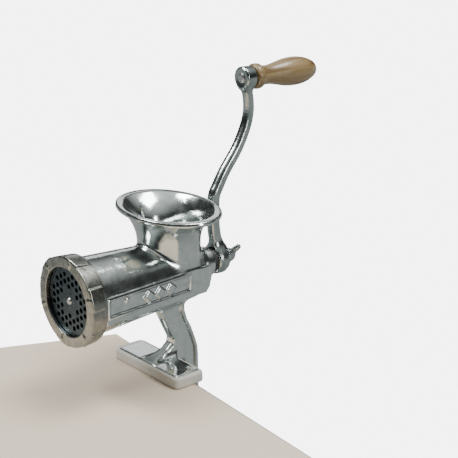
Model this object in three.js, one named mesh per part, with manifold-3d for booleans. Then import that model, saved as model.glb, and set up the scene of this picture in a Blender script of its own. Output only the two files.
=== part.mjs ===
// Hand crank meat grinder that clamps to the edge of a table.
// Millimetres, +Z up. The origin is the middle of the jaw pad's underside, on the table top.
// The feed axis runs along Y: the cutter plate faces -Y and the crank turns at the +Y end.
import * as THREE from 'three';
import { mergeVertices } from 'three/addons/utils/BufferGeometryUtils.js';
import Module from 'manifold-3d';

const wasm = await Module();
wasm.setup();

// Driving dimensions
const GAP = 0.3;                  // clearance between pieces that touch
const AXIS_Z = 108.5;             // feed axis above the table top
const RING_FRONT = -116;          // front face of the ring nut
const RING_DEPTH = 20;
const RING_RADIUS = 50;           // over the grip pads
const RING_OPENING = 37;          // radius of the hole the minced meat leaves by
const GRIP_PADS = 6;              // raised pads round the ring nut
const PAD_TURN = 18;              // angle of the first pad above +X, degrees
const PLATE_RADIUS = 41;
const PLATE_THICK = 8;
const PLATE_FRONT = RING_FRONT + 4.5;
const PLATE_BACK = PLATE_FRONT + PLATE_THICK;
const HOLE_RADIUS = 2.7;
const HOLE_PITCH = 8;
const DRILLED = [15, 30];         // radii the plate's hole centres lie between
const THREAD_RADIUS = 44;         // outside of the barrel's thread
const BARREL = { front: -96, frontRadius: 42, back: 50, backRadius: 33, wall: 5 };
const COLLAR = { radius: 17, end: 69, bore: 10 };
const HOPPER = { y: 17.3, top: 183, rimX: 68, rimY: 48.7, neck: 34, neckTop: 140, wall: 4 };
const LEG_HALF = 8;               // half the thickness of the leg's web
const FLANGE_HALF = 10;           // half the width of the flange down the leg's back
const JAW = { halfX: 50.5, halfY: 16, bottom: 4.3, top: 12.6 };
const TRAY = { halfX: 57, halfY: 19.8, top: 12, corner: 7 };
const COLUMN = { front: 30, back: 48, bottom: -80 };
const DISC = { radius: 18, top: -30, thick: 5 };
const SPINDLE_RADIUS = 6;
const CRANK_RADIUS = 196.5;       // feed axis to grip axis
const CRANK = { front: 75.3, back: 94 };
const SCREW_RADIUS = 4;           // crank screw
const GRIP_Y = 124;               // middle of the boss that carries the grip
const BOSS_FRONT = -5.5;          // the boss's front face, along the grip's axis
const GRIP_DROOP = 2.6;             // the grip's axis falls towards its free end, degrees
const WING_ANGLE = 43;            // wings of the crank screw above +X, degrees

const tinned = new THREE.MeshStandardMaterial({ color: 0xaeb6b2, roughness: 0.22, metalness: 1 });
const steel = new THREE.MeshStandardMaterial({ color: 0x9aa0a3, roughness: 0.3, metalness: 1 });
const darkSteel = new THREE.MeshStandardMaterial({ color: 0x2f3a40, roughness: 0.35, metalness: 0.9 });
const nylon = new THREE.MeshStandardMaterial({ color: 0x0d0f10, roughness: 0.5, metalness: 0 });
const beech = new THREE.MeshStandardMaterial({ color: 0x8c7850, roughness: 0.45, metalness: 0 });
const padPlastic = new THREE.MeshStandardMaterial({ color: 0xa2a096, roughness: 0.6, metalness: 0 });

const radians = (degrees) => degrees * Math.PI / 180;
const mix = (a, b, t) => a + (b - a) * t;

// Closed three.js geometry to a solid: shared corners are merged and flat slivers are dropped.
function solid(geometry) {
  const bare = geometry.clone();
  bare.deleteAttribute('normal');
  bare.deleteAttribute('uv');
  const merged = mergeVertices(bare, 1e-4);
  const corners = [];
  for (let i = 0; i < merged.index.count; i += 3) {
    const [a, b, c] = [0, 1, 2].map((k) => merged.index.getX(i + k));
    if (a !== b && b !== c && c !== a) corners.push(a, b, c);
  }
  const vertProperties = new Float32Array(merged.attributes.position.array);
  const build = (order) => new wasm.Manifold(
    new wasm.Mesh({ numProp: 3, vertProperties, triVerts: new Uint32Array(order) }));
  const part = build(corners);
  if (part.volume() > 0) return part;
  return build(corners.reverse());
}

function piece(name, part, material) {
  const { vertProperties, triVerts } = part.getMesh();
  const geometry = new THREE.BufferGeometry();
  geometry.setAttribute('position', new THREE.BufferAttribute(vertProperties, 3));
  geometry.setIndex(new THREE.BufferAttribute(triVerts, 1));
  geometry.computeVertexNormals();
  const mesh = new THREE.Mesh(geometry, material);
  mesh.name = name;
  return mesh;
}

// Turned about the feed axis. The profile holds [radius, y] pairs that close on themselves.
function turned(profile, segments = 36) {
  const points = [...profile, profile[0]].map(([radius, y]) => new THREE.Vector2(radius, y));
  return solid(new THREE.LatheGeometry(points, segments).translate(0, 0, AXIS_Z));
}

// Turned about an upright axis through (x, y). The profile holds [radius, z] pairs.
function upright(profile, x, y, segments = 20) {
  const points = [...profile, profile[0]].map(([radius, z]) => new THREE.Vector2(radius, z));
  return solid(new THREE.LatheGeometry(points, segments).rotateX(Math.PI / 2).translate(x, y, 0));
}

function rod(from, to, radius, segments = 16) {
  const length = from.distanceTo(to);
  const turn = new THREE.Quaternion().setFromUnitVectors(
    new THREE.Vector3(0, 1, 0), to.clone().sub(from).normalize());
  const middle = from.clone().add(to).multiplyScalar(0.5);
  return solid(new THREE.CylinderGeometry(radius, radius, length, segments)
    .applyQuaternion(turn).translate(middle.x, middle.y, middle.z));
}

function box([x0, y0, z0], [x1, y1, z1]) {
  return solid(new THREE.BoxGeometry(x1 - x0, y1 - y0, z1 - z0)
    .translate((x0 + x1) / 2, (y0 + y1) / 2, (z0 + z1) / 2));
}

// An outline in the Y-Z plane, given a thickness in X and centred on x = 0.
function sidePlate(outline, halfThickness) {
  const shape = new THREE.Shape(outline.map(([y, z]) => new THREE.Vector2(y, z)));
  const geometry = new THREE.ExtrudeGeometry(shape, { depth: 2 * halfThickness, bevelEnabled: false });
  geometry.translate(0, 0, -halfThickness);
  const frame = new THREE.Matrix4().makeBasis(
    new THREE.Vector3(0, 1, 0), new THREE.Vector3(0, 0, 1), new THREE.Vector3(1, 0, 0));
  return solid(geometry.applyMatrix4(frame));
}

// An outline in the X-Z plane about the feed axis, given a thickness in Y.
function facePlate(shape, front, back, curveSegments = 6) {
  const options = { depth: back - front, bevelEnabled: false, curveSegments };
  return solid(new THREE.ExtrudeGeometry(shape, options).rotateX(Math.PI / 2).translate(0, back, AXIS_Z));
}

// An outline in the X-Y plane, given a height in Z.
function slab(shape, bottom, top, curveSegments = 6) {
  const options = { depth: top - bottom, bevelEnabled: false, curveSegments };
  return solid(new THREE.ExtrudeGeometry(shape, options).translate(0, 0, bottom));
}

function roundedRectangle(halfX, halfY, corner) {
  const shape = new THREE.Shape();
  shape.absarc(halfX - corner, halfY - corner, corner, 0, Math.PI / 2);
  shape.absarc(corner - halfX, halfY - corner, corner, Math.PI / 2, Math.PI);
  shape.absarc(corner - halfX, corner - halfY, corner, Math.PI, 1.5 * Math.PI);
  shape.absarc(halfX - corner, corner - halfY, corner, 1.5 * Math.PI, 2 * Math.PI);
  return shape;
}

function circlePoints(radius, count, x = 0, y = 0) {
  return Array.from({ length: count }, (_, k) => new THREE.Vector2(
    x + radius * Math.cos(2 * Math.PI * k / count), y + radius * Math.sin(2 * Math.PI * k / count)));
}

// A closed drum of unit radius, its points moved to place(x, z, t) with t from 0 to 1 along it.
function warped(segments, rows, place) {
  const geometry = new THREE.CylinderGeometry(1, 1, 1, segments, rows);
  const position = geometry.attributes.position;
  for (let i = 0; i < position.count; i += 1) {
    const point = place(position.getX(i), position.getZ(i), position.getY(i) + 0.5);
    position.setXYZ(i, point.x, point.y, point.z);
  }
  return solid(geometry);
}

const barrelRadius = (y) => mix(BARREL.frontRadius, BARREL.backRadius,
  (y - BARREL.front) / (BARREL.back - BARREL.front));
const boreRadius = (y) => barrelRadius(y) - BARREL.wall;

// The funnel, round at the neck and oval at the rim. shrink gives the inside from the outside.
function funnel(shrink, bottom, top) {
  const flare = (z) => Math.max(0, (z - HOPPER.neckTop) / (HOPPER.top - HOPPER.neckTop)) ** 2.6;
  return warped(32, 9, (x, z, t) => {
    const height = mix(bottom, top, t);
    const halfX = mix(HOPPER.neck, HOPPER.rimX, flare(height)) - shrink;
    const halfY = mix(HOPPER.neck, HOPPER.rimY, flare(height)) - shrink;
    return new THREE.Vector3(x * halfX, HOPPER.y - z * halfY, height);
  });
}

function barrelOutside() {
  const shoulder = BARREL.back - 12;
  return turned([
    [0, PLATE_BACK - 4.2], [THREAD_RADIUS, PLATE_BACK - 4.2], [THREAD_RADIUS, BARREL.front],
    [BARREL.frontRadius, BARREL.front + 0.5], [barrelRadius(shoulder), shoulder],
    [barrelRadius(shoulder) - 4, BARREL.back - 5], [22, BARREL.back + 1],
    [COLLAR.radius + 1, BARREL.back + 5], [COLLAR.radius, COLLAR.end - 2],
    [COLLAR.radius - 1.5, COLLAR.end], [0, COLLAR.end],
  ]);
}

function barrelInside() {
  const seat = PLATE_BACK + GAP;
  return turned([
    [0, RING_FRONT], [PLATE_RADIUS + GAP, RING_FRONT], [PLATE_RADIUS + GAP, seat],
    [boreRadius(seat), seat], [boreRadius(36), 36], [22, 45], [COLLAR.bore, 46],
    [COLLAR.bore, COLLAR.end + 5], [0, COLLAR.end + 5],
  ]);
}

// A flat-faced band along each side of the barrel, with a sunken panel, a pip and three lozenges.
function sideBands() {
  const [front, back, bottom, top] = [BARREL.front + 1, BARREL.back, 88.6, 119];
  const halfWidth = (y) => mix(41.2, 32, (y - front) / (back - front));
  const plan = (inset, y0, y1) => {
    const [a, b] = [halfWidth(y0) - inset, halfWidth(y1) - inset];
    return new THREE.Shape([[-a, y0], [a, y0], [b, y1], [-b, y1]].map((p) => new THREE.Vector2(...p)));
  };
  const panel = slab(plan(-1, -90, 19), 97, 115.5).subtract(slab(plan(0.8, -91, 20), 96, 117));
  const profile = [
    [front, bottom], [back - 8, bottom], [back - 3, 94], [back, 104], [back, top], [front, top],
  ];
  let band = slab(plan(0, front, back), bottom, top).intersect(sidePlate(profile, 60)).subtract(panel);
  for (const side of [-1, 1]) {
    const badge = (y, z, radius, corners) => {
      const at = new THREE.Vector3(side * halfWidth(y), y, z);
      const inner = at.clone().setX(at.x - side * 3);
      return rod(inner, at, radius, corners);
    };
    band = band.add(badge(-67, 110.5, 2, 12));
    for (const y of [-38, -23, -8]) band = band.add(badge(y, 106, 4.5, 4));
  }
  return band;
}

function leg() {
  const rear = [[32, 84], [30, 65], [33, 55], [38, 44], [44, 28], [COLUMN.back, 15]];
  const outline = [
    ...rear, [COLUMN.back, COLUMN.bottom], [COLUMN.front - 4, COLUMN.bottom],
    [COLUMN.front - 4, -62], [COLUMN.front, -56], [COLUMN.front, JAW.bottom],
    [4, JAW.bottom + 1], [-12, JAW.top - 1], [4, 19], [13, 25], [16, 32], [0, 66], [-6, 84],
  ];
  const flange = [
    ...rear, [COLUMN.back, COLUMN.bottom], [COLUMN.back - 5, COLUMN.bottom],
    ...rear.slice().reverse().map(([y, z]) => [y - 5, z]),
  ];
  return sidePlate(outline, LEG_HALF).add(sidePlate(flange, FLANGE_HALF));
}

// The jaw over the table top, and the arm under it that carries the clamp screw.
function jaws() {
  const upper = slab(roundedRectangle(JAW.halfX, JAW.halfY, 3), JAW.bottom, JAW.top);
  const lower = box([-LEG_HALF, 0, COLUMN.bottom], [LEG_HALF, COLUMN.front, -64]);
  const boss = upright([[0, COLUMN.bottom - 2], [13, COLUMN.bottom - 2], [13, -62], [0, -62]], 0, 0);
  return upper.add(lower).add(boss);
}

function plateKeyPin(radius) {
  const y = PLATE_BACK - 2.4;
  return rod(new THREE.Vector3(0, y, AXIS_Z - 43.6), new THREE.Vector3(0, y, AXIS_Z - 38.6), radius, 12);
}

function bodyCasting() {
  const clampThread = upright(
    [[0, -90], [SPINDLE_RADIUS + GAP, -90], [SPINDLE_RADIUS + GAP, -50], [0, -50]], 0, 0);
  const outside = barrelOutside().add(sideBands()).add(funnel(0, AXIS_Z, HOPPER.top))
    .add(leg()).add(jaws());
  return outside.subtract(barrelInside())
    .subtract(funnel(HOPPER.wall, AXIS_Z, HOPPER.top + 1))
    .subtract(clampThread).subtract(plateKeyPin(1.6 + GAP));
}

function ringNut() {
  const back = RING_FRONT + RING_DEPTH;
  const face = PLATE_FRONT - GAP;
  let ring = turned([
    [RING_OPENING, RING_FRONT + 0.8], [RING_OPENING + 0.8, RING_FRONT],
    [RING_RADIUS - 2.6, RING_FRONT], [RING_RADIUS - 1.6, RING_FRONT + 1],
    [RING_RADIUS - 3.5, back], [THREAD_RADIUS + GAP, back], [THREAD_RADIUS + GAP, PLATE_BACK - 4.6],
    [PLATE_RADIUS + GAP, PLATE_BACK - 5], [PLATE_RADIUS + GAP, face], [RING_OPENING, face],
  ], 48);
  const taper = turned([
    [0, RING_FRONT], [RING_RADIUS, RING_FRONT], [RING_RADIUS - 2.4, back], [0, back]], 48);
  for (let k = 0; k < GRIP_PADS; k += 1) {
    const angle = radians(PAD_TURN + 360 * k / GRIP_PADS);
    const half = radians(14);
    const pad = new THREE.Shape();
    pad.absarc(0, 0, RING_RADIUS, -angle - half, -angle + half, false);
    pad.absarc(0, 0, RING_RADIUS - 4.5, -angle + half, -angle - half, true);
    ring = ring.add(facePlate(pad, RING_FRONT + 0.6, back - 2, 3).intersect(taper));
    const along = new THREE.Vector3(Math.cos(angle), 0, Math.sin(angle));
    const at = (radius) => along.clone().multiplyScalar(radius).add(
      new THREE.Vector3(0, RING_FRONT + 0.4, AXIS_Z));
    ring = ring.add(rod(at(RING_OPENING + 2), at(RING_RADIUS - 1), 2, 8));
  }
  return ring;
}

function cutterPlate() {
  const shape = new THREE.Shape(circlePoints(PLATE_RADIUS, 48));
  shape.holes.push(new THREE.Path(circlePoints(4 + GAP, 16)));
  const rowStep = HOLE_PITCH * Math.sqrt(3) / 2;
  for (let row = -5; row <= 5; row += 1) {
    for (let column = -6; column <= 6; column += 1) {
      const z = HOLE_PITCH * (column + (row % 2 === 0 ? 0 : 0.5));
      const distance = Math.hypot(row * rowStep, z);
      if (distance < DRILLED[0] || distance > DRILLED[1]) continue;
      shape.holes.push(new THREE.Path(circlePoints(HOLE_RADIUS, 10, row * rowStep, z)));
    }
  }
  const keyway = box([-1.9 - GAP, PLATE_FRONT - 1, AXIS_Z - 42],
    [1.9 + GAP, PLATE_BACK + 1, AXIS_Z - 38.2]);
  return facePlate(shape, PLATE_FRONT, PLATE_BACK).subtract(keyway);
}

// Four swept-back wings on a square-holed hub, each sharpened edge flat against the plate.
function knife() {
  const [front, back] = [PLATE_BACK + GAP, PLATE_BACK + 8.4];
  const hole = 5.5 + GAP;
  const wing = [[-4, 7], [-5.5, 20], [-2, 34], [4.5, 34], [6, 20], [5.5, 7]];
  const hub = new THREE.Shape(circlePoints(11.5, 20));
  let blade = facePlate(hub, front, back);
  for (let k = 0; k < 4; k += 1) {
    const outline = wing.map(([x, z]) => new THREE.Vector2(x, z).rotateAround(
      new THREE.Vector2(), radians(90 * k)));
    blade = blade.add(facePlate(new THREE.Shape(outline), front, back - 2));
  }
  return blade.subtract(box([-hole, front - 1, AXIS_Z - hole], [hole, back + 1, AXIS_Z + hole]));
}

const AUGER_FRONT = PLATE_BACK + 8.8;
const AUGER_BACK = 40;
const SHANK_HALF = 6;             // half the width of the square the crank fits on
const SHANK_END = 90;
const STUD_PIN_Y = AUGER_FRONT + 9;

function studPinRod(radius, half) {
  return rod(new THREE.Vector3(-half, STUD_PIN_Y, AXIS_Z), new THREE.Vector3(half, STUD_PIN_Y, AXIS_Z),
    radius, 12);
}

// The feed screw: one tapering spiral flight on a core that thickens towards the knife.
function auger() {
  const [turns, flightHalf] = [4.5, 0.17];
  const screw = warped(22, 42, (x, z, t) => {
    const y = mix(AUGER_FRONT, AUGER_BACK, t);
    const angle = Math.atan2(x, z) / (2 * Math.PI);
    const phase = angle + turns * t - Math.round(angle + turns * t);
    const crest = Math.min(1, Math.max(0, (flightHalf + 0.08 - Math.abs(phase)) / 0.08));
    const core = mix(14, 12, t);
    const radius = mix(core, boreRadius(y) - 1.2 - 4 * t, crest) * Math.hypot(x, z);
    return new THREE.Vector3(radius * Math.sin(2 * Math.PI * angle), y,
      AXIS_Z + radius * Math.cos(2 * Math.PI * angle));
  });
  const journal = turned([
    [0, AUGER_BACK - 4], [12, AUGER_BACK - 4], [12, 45.5], [COLLAR.bore - GAP, 45.5],
    [COLLAR.bore - GAP, COLLAR.end + 6], [0, COLLAR.end + 6]], 28);
  const shank = box([-SHANK_HALF, COLLAR.end, AXIS_Z - SHANK_HALF],
    [SHANK_HALF, SHANK_END, AXIS_Z + SHANK_HALF]);
  const screwHole = turned([[0, 64], [SCREW_RADIUS + GAP, 64], [SCREW_RADIUS + GAP, SHANK_END + 1],
    [0, SHANK_END + 1]], 14);
  const studHole = turned([[0, AUGER_FRONT - 1], [5, AUGER_FRONT - 1], [5, AUGER_FRONT + 20],
    [0, AUGER_FRONT + 20]], 18);
  return screw.add(journal).add(shank).subtract(screwHole).subtract(studHole)
    .subtract(studPinRod(1.5 + GAP, 40));
}

function augerStud() {
  const root = turned([[0, AUGER_FRONT], [5 - GAP, AUGER_FRONT], [5 - GAP, AUGER_FRONT + 19.5],
    [0, AUGER_FRONT + 19.5]], 18);
  const square = box([-5.5, PLATE_BACK + GAP / 2, AXIS_Z - 5.5], [5.5, AUGER_FRONT - GAP, AXIS_Z + 5.5]);
  const neck = turned([[0, AUGER_FRONT - 1], [4, AUGER_FRONT - 1], [4, AUGER_FRONT + 1],
    [0, AUGER_FRONT + 1]], 18);
  const tip = turned([[0, PLATE_FRONT - 1.4], [2.6, PLATE_FRONT - 1.4], [4, PLATE_FRONT - 0.2],
    [4, PLATE_BACK + 1], [0, PLATE_BACK + 1]], 18);
  return root.add(neck).add(square).add(tip).subtract(studPinRod(1.5 + GAP, 20));
}

function thrustWasher() {
  return turned([[COLLAR.bore, COLLAR.end + GAP], [14, COLLAR.end + GAP], [14, CRANK.front - GAP],
    [COLLAR.bore, CRANK.front - GAP]], 28);
}

// The grip's axis, measured from the middle of the crank's boss.
const gripAxis = new THREE.Vector3(0, Math.cos(radians(GRIP_DROOP)), -Math.sin(radians(GRIP_DROOP)));
const gripCentre = new THREE.Vector3(0, GRIP_Y, AXIS_Z + CRANK_RADIUS);

// Turned about the grip's axis. The profile holds [radius, distance from the boss] pairs.
function turnedOnGrip(profile, segments = 20) {
  const points = [...profile, profile[0]].map(([radius, s]) => new THREE.Vector2(radius, s));
  return solid(new THREE.LatheGeometry(points, segments).rotateX(-radians(GRIP_DROOP))
    .translate(gripCentre.x, gripCentre.y, gripCentre.z));
}

function crankArm() {
  const line = new THREE.CatmullRomCurve3([
    [84, 118], [82.6, 126], [79.8, 138], [78.6, 152], [79.3, 179], [85, 191], [95.5, 207.5], [112, 228],
    [123.5, 249], [128.6, 266], [128.4, 282], [124.6, 300],
  ].map(([y, z]) => new THREE.Vector3(0, y, z)), false, 'centripetal');
  const arm = warped(12, 22, (x, z, t) => {
    const along = line.getTangentAt(t);
    const across = new THREE.Vector3(0, along.z, -along.y);
    const [halfX, halfPlane] = [mix(6.6, 5.4, t), mix(7.4, 5.6, t)];
    return line.getPointAt(t).addScaledVector(across, z * halfPlane).setX(x * halfX);
  });
  const hub = turned([[0, CRANK.front], [14.5, CRANK.front], [16.2, CRANK.front + 1.5], [16.8, 86],
    [14.5, 90.5], [9.5, CRANK.back], [0, CRANK.back]], 28);
  const boss = turnedOnGrip([[0, BOSS_FRONT], [11.5, BOSS_FRONT], [12.5, BOSS_FRONT + 1],
    [12.5, 7.5], [11.5, 8.5], [0, 8.5]]);
  const square = SHANK_HALF + GAP;
  const socket = box([-square, CRANK.front - 1, AXIS_Z - square],
    [square, CRANK.back + 1, AXIS_Z + square]);
  const spindleHole = turnedOnGrip([[0, -12], [4 + GAP, -12], [4 + GAP, 12], [0, 12]], 18);
  return arm.add(hub).add(boss).subtract(socket).subtract(spindleHole);
}

function crankScrewWasher() {
  const hole = SCREW_RADIUS + GAP;
  return turned([[hole, CRANK.back + GAP], [10, CRANK.back + GAP], [10, CRANK.back + 2],
    [hole, CRANK.back + 2]], 20);
}

function crankScrew() {
  const start = CRANK.back + 2 + GAP;
  const body = turned([[0, 66], [SCREW_RADIUS, 66], [SCREW_RADIUS, start], [8, start],
    [8, start + 4.5], [6.5, start + 8], [3, start + 10.3], [0, start + 10.8]], 18);
  const wing = new THREE.Shape();
  wing.moveTo(0, start + 0.4);
  wing.lineTo(8, start + 0.6);
  wing.bezierCurveTo(14, start + 1, 20, start + 2, 21, start + 6.5);
  wing.bezierCurveTo(21.5, start + 11, 16, start + 13, 12.5, start + 9);
  wing.bezierCurveTo(10, start + 7, 6, start + 7, 0, start + 7);
  const options = { depth: 6, bevelEnabled: false, curveSegments: 5 };
  let screw = body;
  for (const turn of [0, 180]) {
    const geometry = new THREE.ExtrudeGeometry(wing, options).translate(0, 0, -3)
      .rotateY(-radians(WING_ANGLE + turn)).translate(0, 0, AXIS_Z);
    screw = screw.add(solid(geometry));
  }
  return screw;
}

const GRIP_START = 10.3;
const GRIP_END = 97.5;

function grip() {
  const bore = 4 + GAP;
  const recess = 6.6;
  const s = (distance) => GRIP_START + distance;
  return turnedOnGrip([
    [bore, s(0)], [12, s(0)], [13.7, s(2.2)], [14, s(5.5)], [13.2, s(9.5)], [11.2, s(13)],
    [10.5, s(18)], [11, s(25)], [12.9, s(35)], [14.9, s(45)], [15.8, s(55)], [15.5, s(65)],
    [13.9, s(74)], [11.4, s(81)], [9, s(86)], [7.6, GRIP_END], [recess, GRIP_END],
    [recess, GRIP_END - 3.5], [bore, GRIP_END - 3.5],
  ]);
}

function gripSpindle() {
  return turnedOnGrip([
    [0, BOSS_FRONT - 1.9], [4.6, BOSS_FRONT - 1.7], [6, BOSS_FRONT - GAP], [4, BOSS_FRONT - GAP],
    [4, GRIP_END - 1.4],
    [5.6, GRIP_END - 1.4], [4.6, GRIP_END], [0, GRIP_END + 0.4],
  ], 24);
}

const gripWasher = () => turnedOnGrip([
  [4 + GAP, 8.5 + GAP], [8.5, 8.5 + GAP], [8.5, GRIP_START - GAP], [4 + GAP, GRIP_START - GAP]], 18);

const gripEndWasher = () => turnedOnGrip([
  [4 + GAP, GRIP_END - 3.2], [6.2, GRIP_END - 3.2], [6.2, GRIP_END - 1.8], [4 + GAP, GRIP_END - 1.8]], 18);

// The plastic tray pushed over the jaw, open for the leg at the back.
function jawPad() {
  const outside = slab(roundedRectangle(TRAY.halfX, TRAY.halfY, TRAY.corner), 0, TRAY.top);
  const pocket = slab(roundedRectangle(JAW.halfX + GAP, JAW.halfY + GAP, 3),
    JAW.bottom - GAP, TRAY.top + 1);
  const legSlot = box([-FLANGE_HALF - GAP, JAW.halfY - 2, JAW.bottom - GAP],
    [FLANGE_HALF + GAP, TRAY.halfY + 1, TRAY.top + 1]);
  return outside.subtract(pocket).subtract(legSlot);
}

const HEAD = { top: -122, bottom: -140, radius: 9, barZ: -131 };   // head of the clamp screw
const BAR_RADIUS = 3.5;
const BAR_HALF = 42;
const barEnd = (x) => new THREE.Vector3(x, 0, HEAD.barZ);

function clampSpindle() {
  const tipTop = DISC.top - DISC.thick - GAP;
  const screw = upright([
    [0, HEAD.bottom], [HEAD.radius - 1.5, HEAD.bottom], [HEAD.radius, HEAD.bottom + 1.5],
    [HEAD.radius, HEAD.top - 1.5], [SPINDLE_RADIUS, HEAD.top], [SPINDLE_RADIUS, tipTop],
    [2.5, tipTop], [2.5, DISC.top - 2.6], [0, DISC.top - 2.6],
  ], 0, 0);
  return screw.subtract(rod(barEnd(-20), barEnd(20), BAR_RADIUS + GAP, 14));
}

function clampDisc() {
  const under = DISC.top - DISC.thick;
  const hole = 2.5 + GAP;
  return upright([
    [hole, under], [8, under], [DISC.radius, under + 2], [DISC.radius, DISC.top - 0.6],
    [DISC.radius - 0.6, DISC.top], [5.5, DISC.top], [5.5, DISC.top - 2.3], [hole, DISC.top - 2.3],
  ], 0, 0, 28);
}

const discRivet = () => upright([
  [0, DISC.top - 2.3], [5, DISC.top - 2.2], [4.4, DISC.top - 0.8], [0, DISC.top - 0.5]], 0, 0);

const tommyBar = () => rod(barEnd(-BAR_HALF), barEnd(BAR_HALF), BAR_RADIUS, 14);

function tommyKnob(side) {
  const ball = solid(new THREE.SphereGeometry(6, 14, 8).translate(side * (BAR_HALF - 1), 0, HEAD.barZ));
  const socket = rod(barEnd(side * (BAR_HALF - 12)), barEnd(side * (BAR_HALF + GAP)), BAR_RADIUS + GAP, 14);
  return ball.subtract(socket);
}

const grinder = new THREE.Group();
grinder.add(
  piece('body_casting', bodyCasting(), tinned),
  piece('ring_nut', ringNut(), tinned),
  piece('cutter_plate', cutterPlate(), darkSteel),
  piece('plate_key', plateKeyPin(1.6), steel),
  piece('knife', knife(), steel),
  piece('auger', auger(), tinned),
  piece('auger_stud', augerStud(), steel),
  piece('stud_pin', studPinRod(1.5, 12), steel),
  piece('thrust_washer', thrustWasher(), nylon),
  piece('crank_arm', crankArm(), tinned),
  piece('crank_screw_washer', crankScrewWasher(), steel),
  piece('crank_screw', crankScrew(), tinned),
  piece('grip', grip(), beech),
  piece('grip_spindle', gripSpindle(), steel),
  piece('grip_washer', gripWasher(), steel),
  piece('grip_end_washer', gripEndWasher(), steel),
  piece('jaw_pad', jawPad(), padPlastic),
  piece('clamp_spindle', clampSpindle(), steel),
  piece('clamp_disc', clampDisc(), steel),
  piece('disc_rivet', discRivet(), steel),
  piece('tommy_bar', tommyBar(), steel),
  piece('tommy_knob_left', tommyKnob(-1), steel),
  piece('tommy_knob_right', tommyKnob(1), steel),
);

export default grinder;
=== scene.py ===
import math

import bpy
import numpy as np
from mathutils import Matrix, Vector


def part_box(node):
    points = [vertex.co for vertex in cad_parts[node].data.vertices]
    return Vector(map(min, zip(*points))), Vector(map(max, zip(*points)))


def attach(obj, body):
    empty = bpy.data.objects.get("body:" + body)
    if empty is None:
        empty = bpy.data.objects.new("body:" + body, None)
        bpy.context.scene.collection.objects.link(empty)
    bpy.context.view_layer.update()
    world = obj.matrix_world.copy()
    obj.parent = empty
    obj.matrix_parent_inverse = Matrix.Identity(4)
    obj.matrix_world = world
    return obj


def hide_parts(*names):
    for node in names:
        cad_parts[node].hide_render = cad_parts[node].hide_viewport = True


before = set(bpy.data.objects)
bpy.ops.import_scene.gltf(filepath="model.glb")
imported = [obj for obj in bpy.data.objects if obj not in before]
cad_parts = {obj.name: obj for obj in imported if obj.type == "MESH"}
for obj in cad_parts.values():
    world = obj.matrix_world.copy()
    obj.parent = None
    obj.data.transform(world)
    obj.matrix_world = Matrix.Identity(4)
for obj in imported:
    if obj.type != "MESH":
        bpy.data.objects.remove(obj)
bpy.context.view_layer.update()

# --- Camera -------------------------------------------------------------------------------------
# A long lens from the grinder's front right, a little above it, so the plate, the hopper and the
# crank all show.
camera_data = bpy.data.cameras.new("camera")
camera = bpy.data.objects.new("camera", camera_data)
bpy.context.scene.collection.objects.link(camera)
camera_place = Vector((1.185, -0.8831, 0.6776))
looking = Vector((-0.7262, 0.6029, -0.3305))
camera_roll = math.radians(-0.3)
camera.matrix_world = (Matrix.Translation(camera_place)
                       @ looking.to_track_quat("-Z", "Y").to_matrix().to_4x4()
                       @ Matrix.Rotation(camera_roll, 4, "Z"))
camera_data.lens = 116.6
camera_data.sensor_width = 36.0
bpy.context.scene.camera = camera

# --- Table slab and studio light ------------------------------------------------------------------
# A plain pale slab stands in for the table top: the jaw pad lies on it and the clamp disc presses
# on its underside. A hole under the pad, hidden by it, leaves room for the disc to be screwed up.
pad_low, pad_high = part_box("jaw_pad")
disc_low, disc_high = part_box("clamp_disc")
slab_curve = bpy.data.curves.new("table_slab", "CURVE")
slab_curve.dimensions = "2D"
slab_curve.fill_mode = "BOTH"
slab_gap, slab_edge = 0.0002, 0.001
rear_edge = pad_high.y + 0.0008
corners = [(-0.108, rear_edge), (0.9, rear_edge - 0.09), (0.9, -1.2), (-0.64, -1.2)]
outline = slab_curve.splines.new("POLY")
outline.points.add(len(corners) - 1)
for point, (x, y) in zip(outline.points, corners):
    point.co = (x, y, 0, 1)
outline.use_cyclic_u = True
hole = slab_curve.splines.new("POLY")
hole_radius, hole_corners = disc_high.x + 0.0012, 64
hole.points.add(hole_corners - 1)
for i, point in enumerate(hole.points):
    turn = math.tau * i / hole_corners
    point.co = (hole_radius * math.cos(turn), hole_radius * math.sin(turn), 0, 1)
hole.use_cyclic_u = True
slab_top = -slab_gap
slab_thick = slab_top - disc_high.z - slab_gap
slab_curve.extrude = slab_thick / 2 - slab_edge
slab_curve.bevel_depth = slab_edge
slab_curve.bevel_resolution = 2
slab = bpy.data.objects.new("table_slab", slab_curve)
slab.location.z = slab_top - slab_thick / 2
bpy.context.scene.collection.objects.link(slab)
slab_finish = bpy.data.materials.new("pale_slab")
slab_finish.use_nodes = True
slab_shader = slab_finish.node_tree.nodes["Principled BSDF"]
slab_shader.inputs["Base Color"].default_value = (0.62, 0.52, 0.41, 1)
slab_shader.inputs["Roughness"].default_value = 0.55
slab_curve.materials.append(slab_finish)

world = bpy.data.worlds.new("studio")
bpy.context.scene.world = world
world.use_nodes = True
tree = world.node_tree
tree.nodes.clear()
coordinate = tree.nodes.new("ShaderNodeTexCoord")
split = tree.nodes.new("ShaderNodeSeparateXYZ")
height = tree.nodes.new("ShaderNodeValToRGB")
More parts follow.
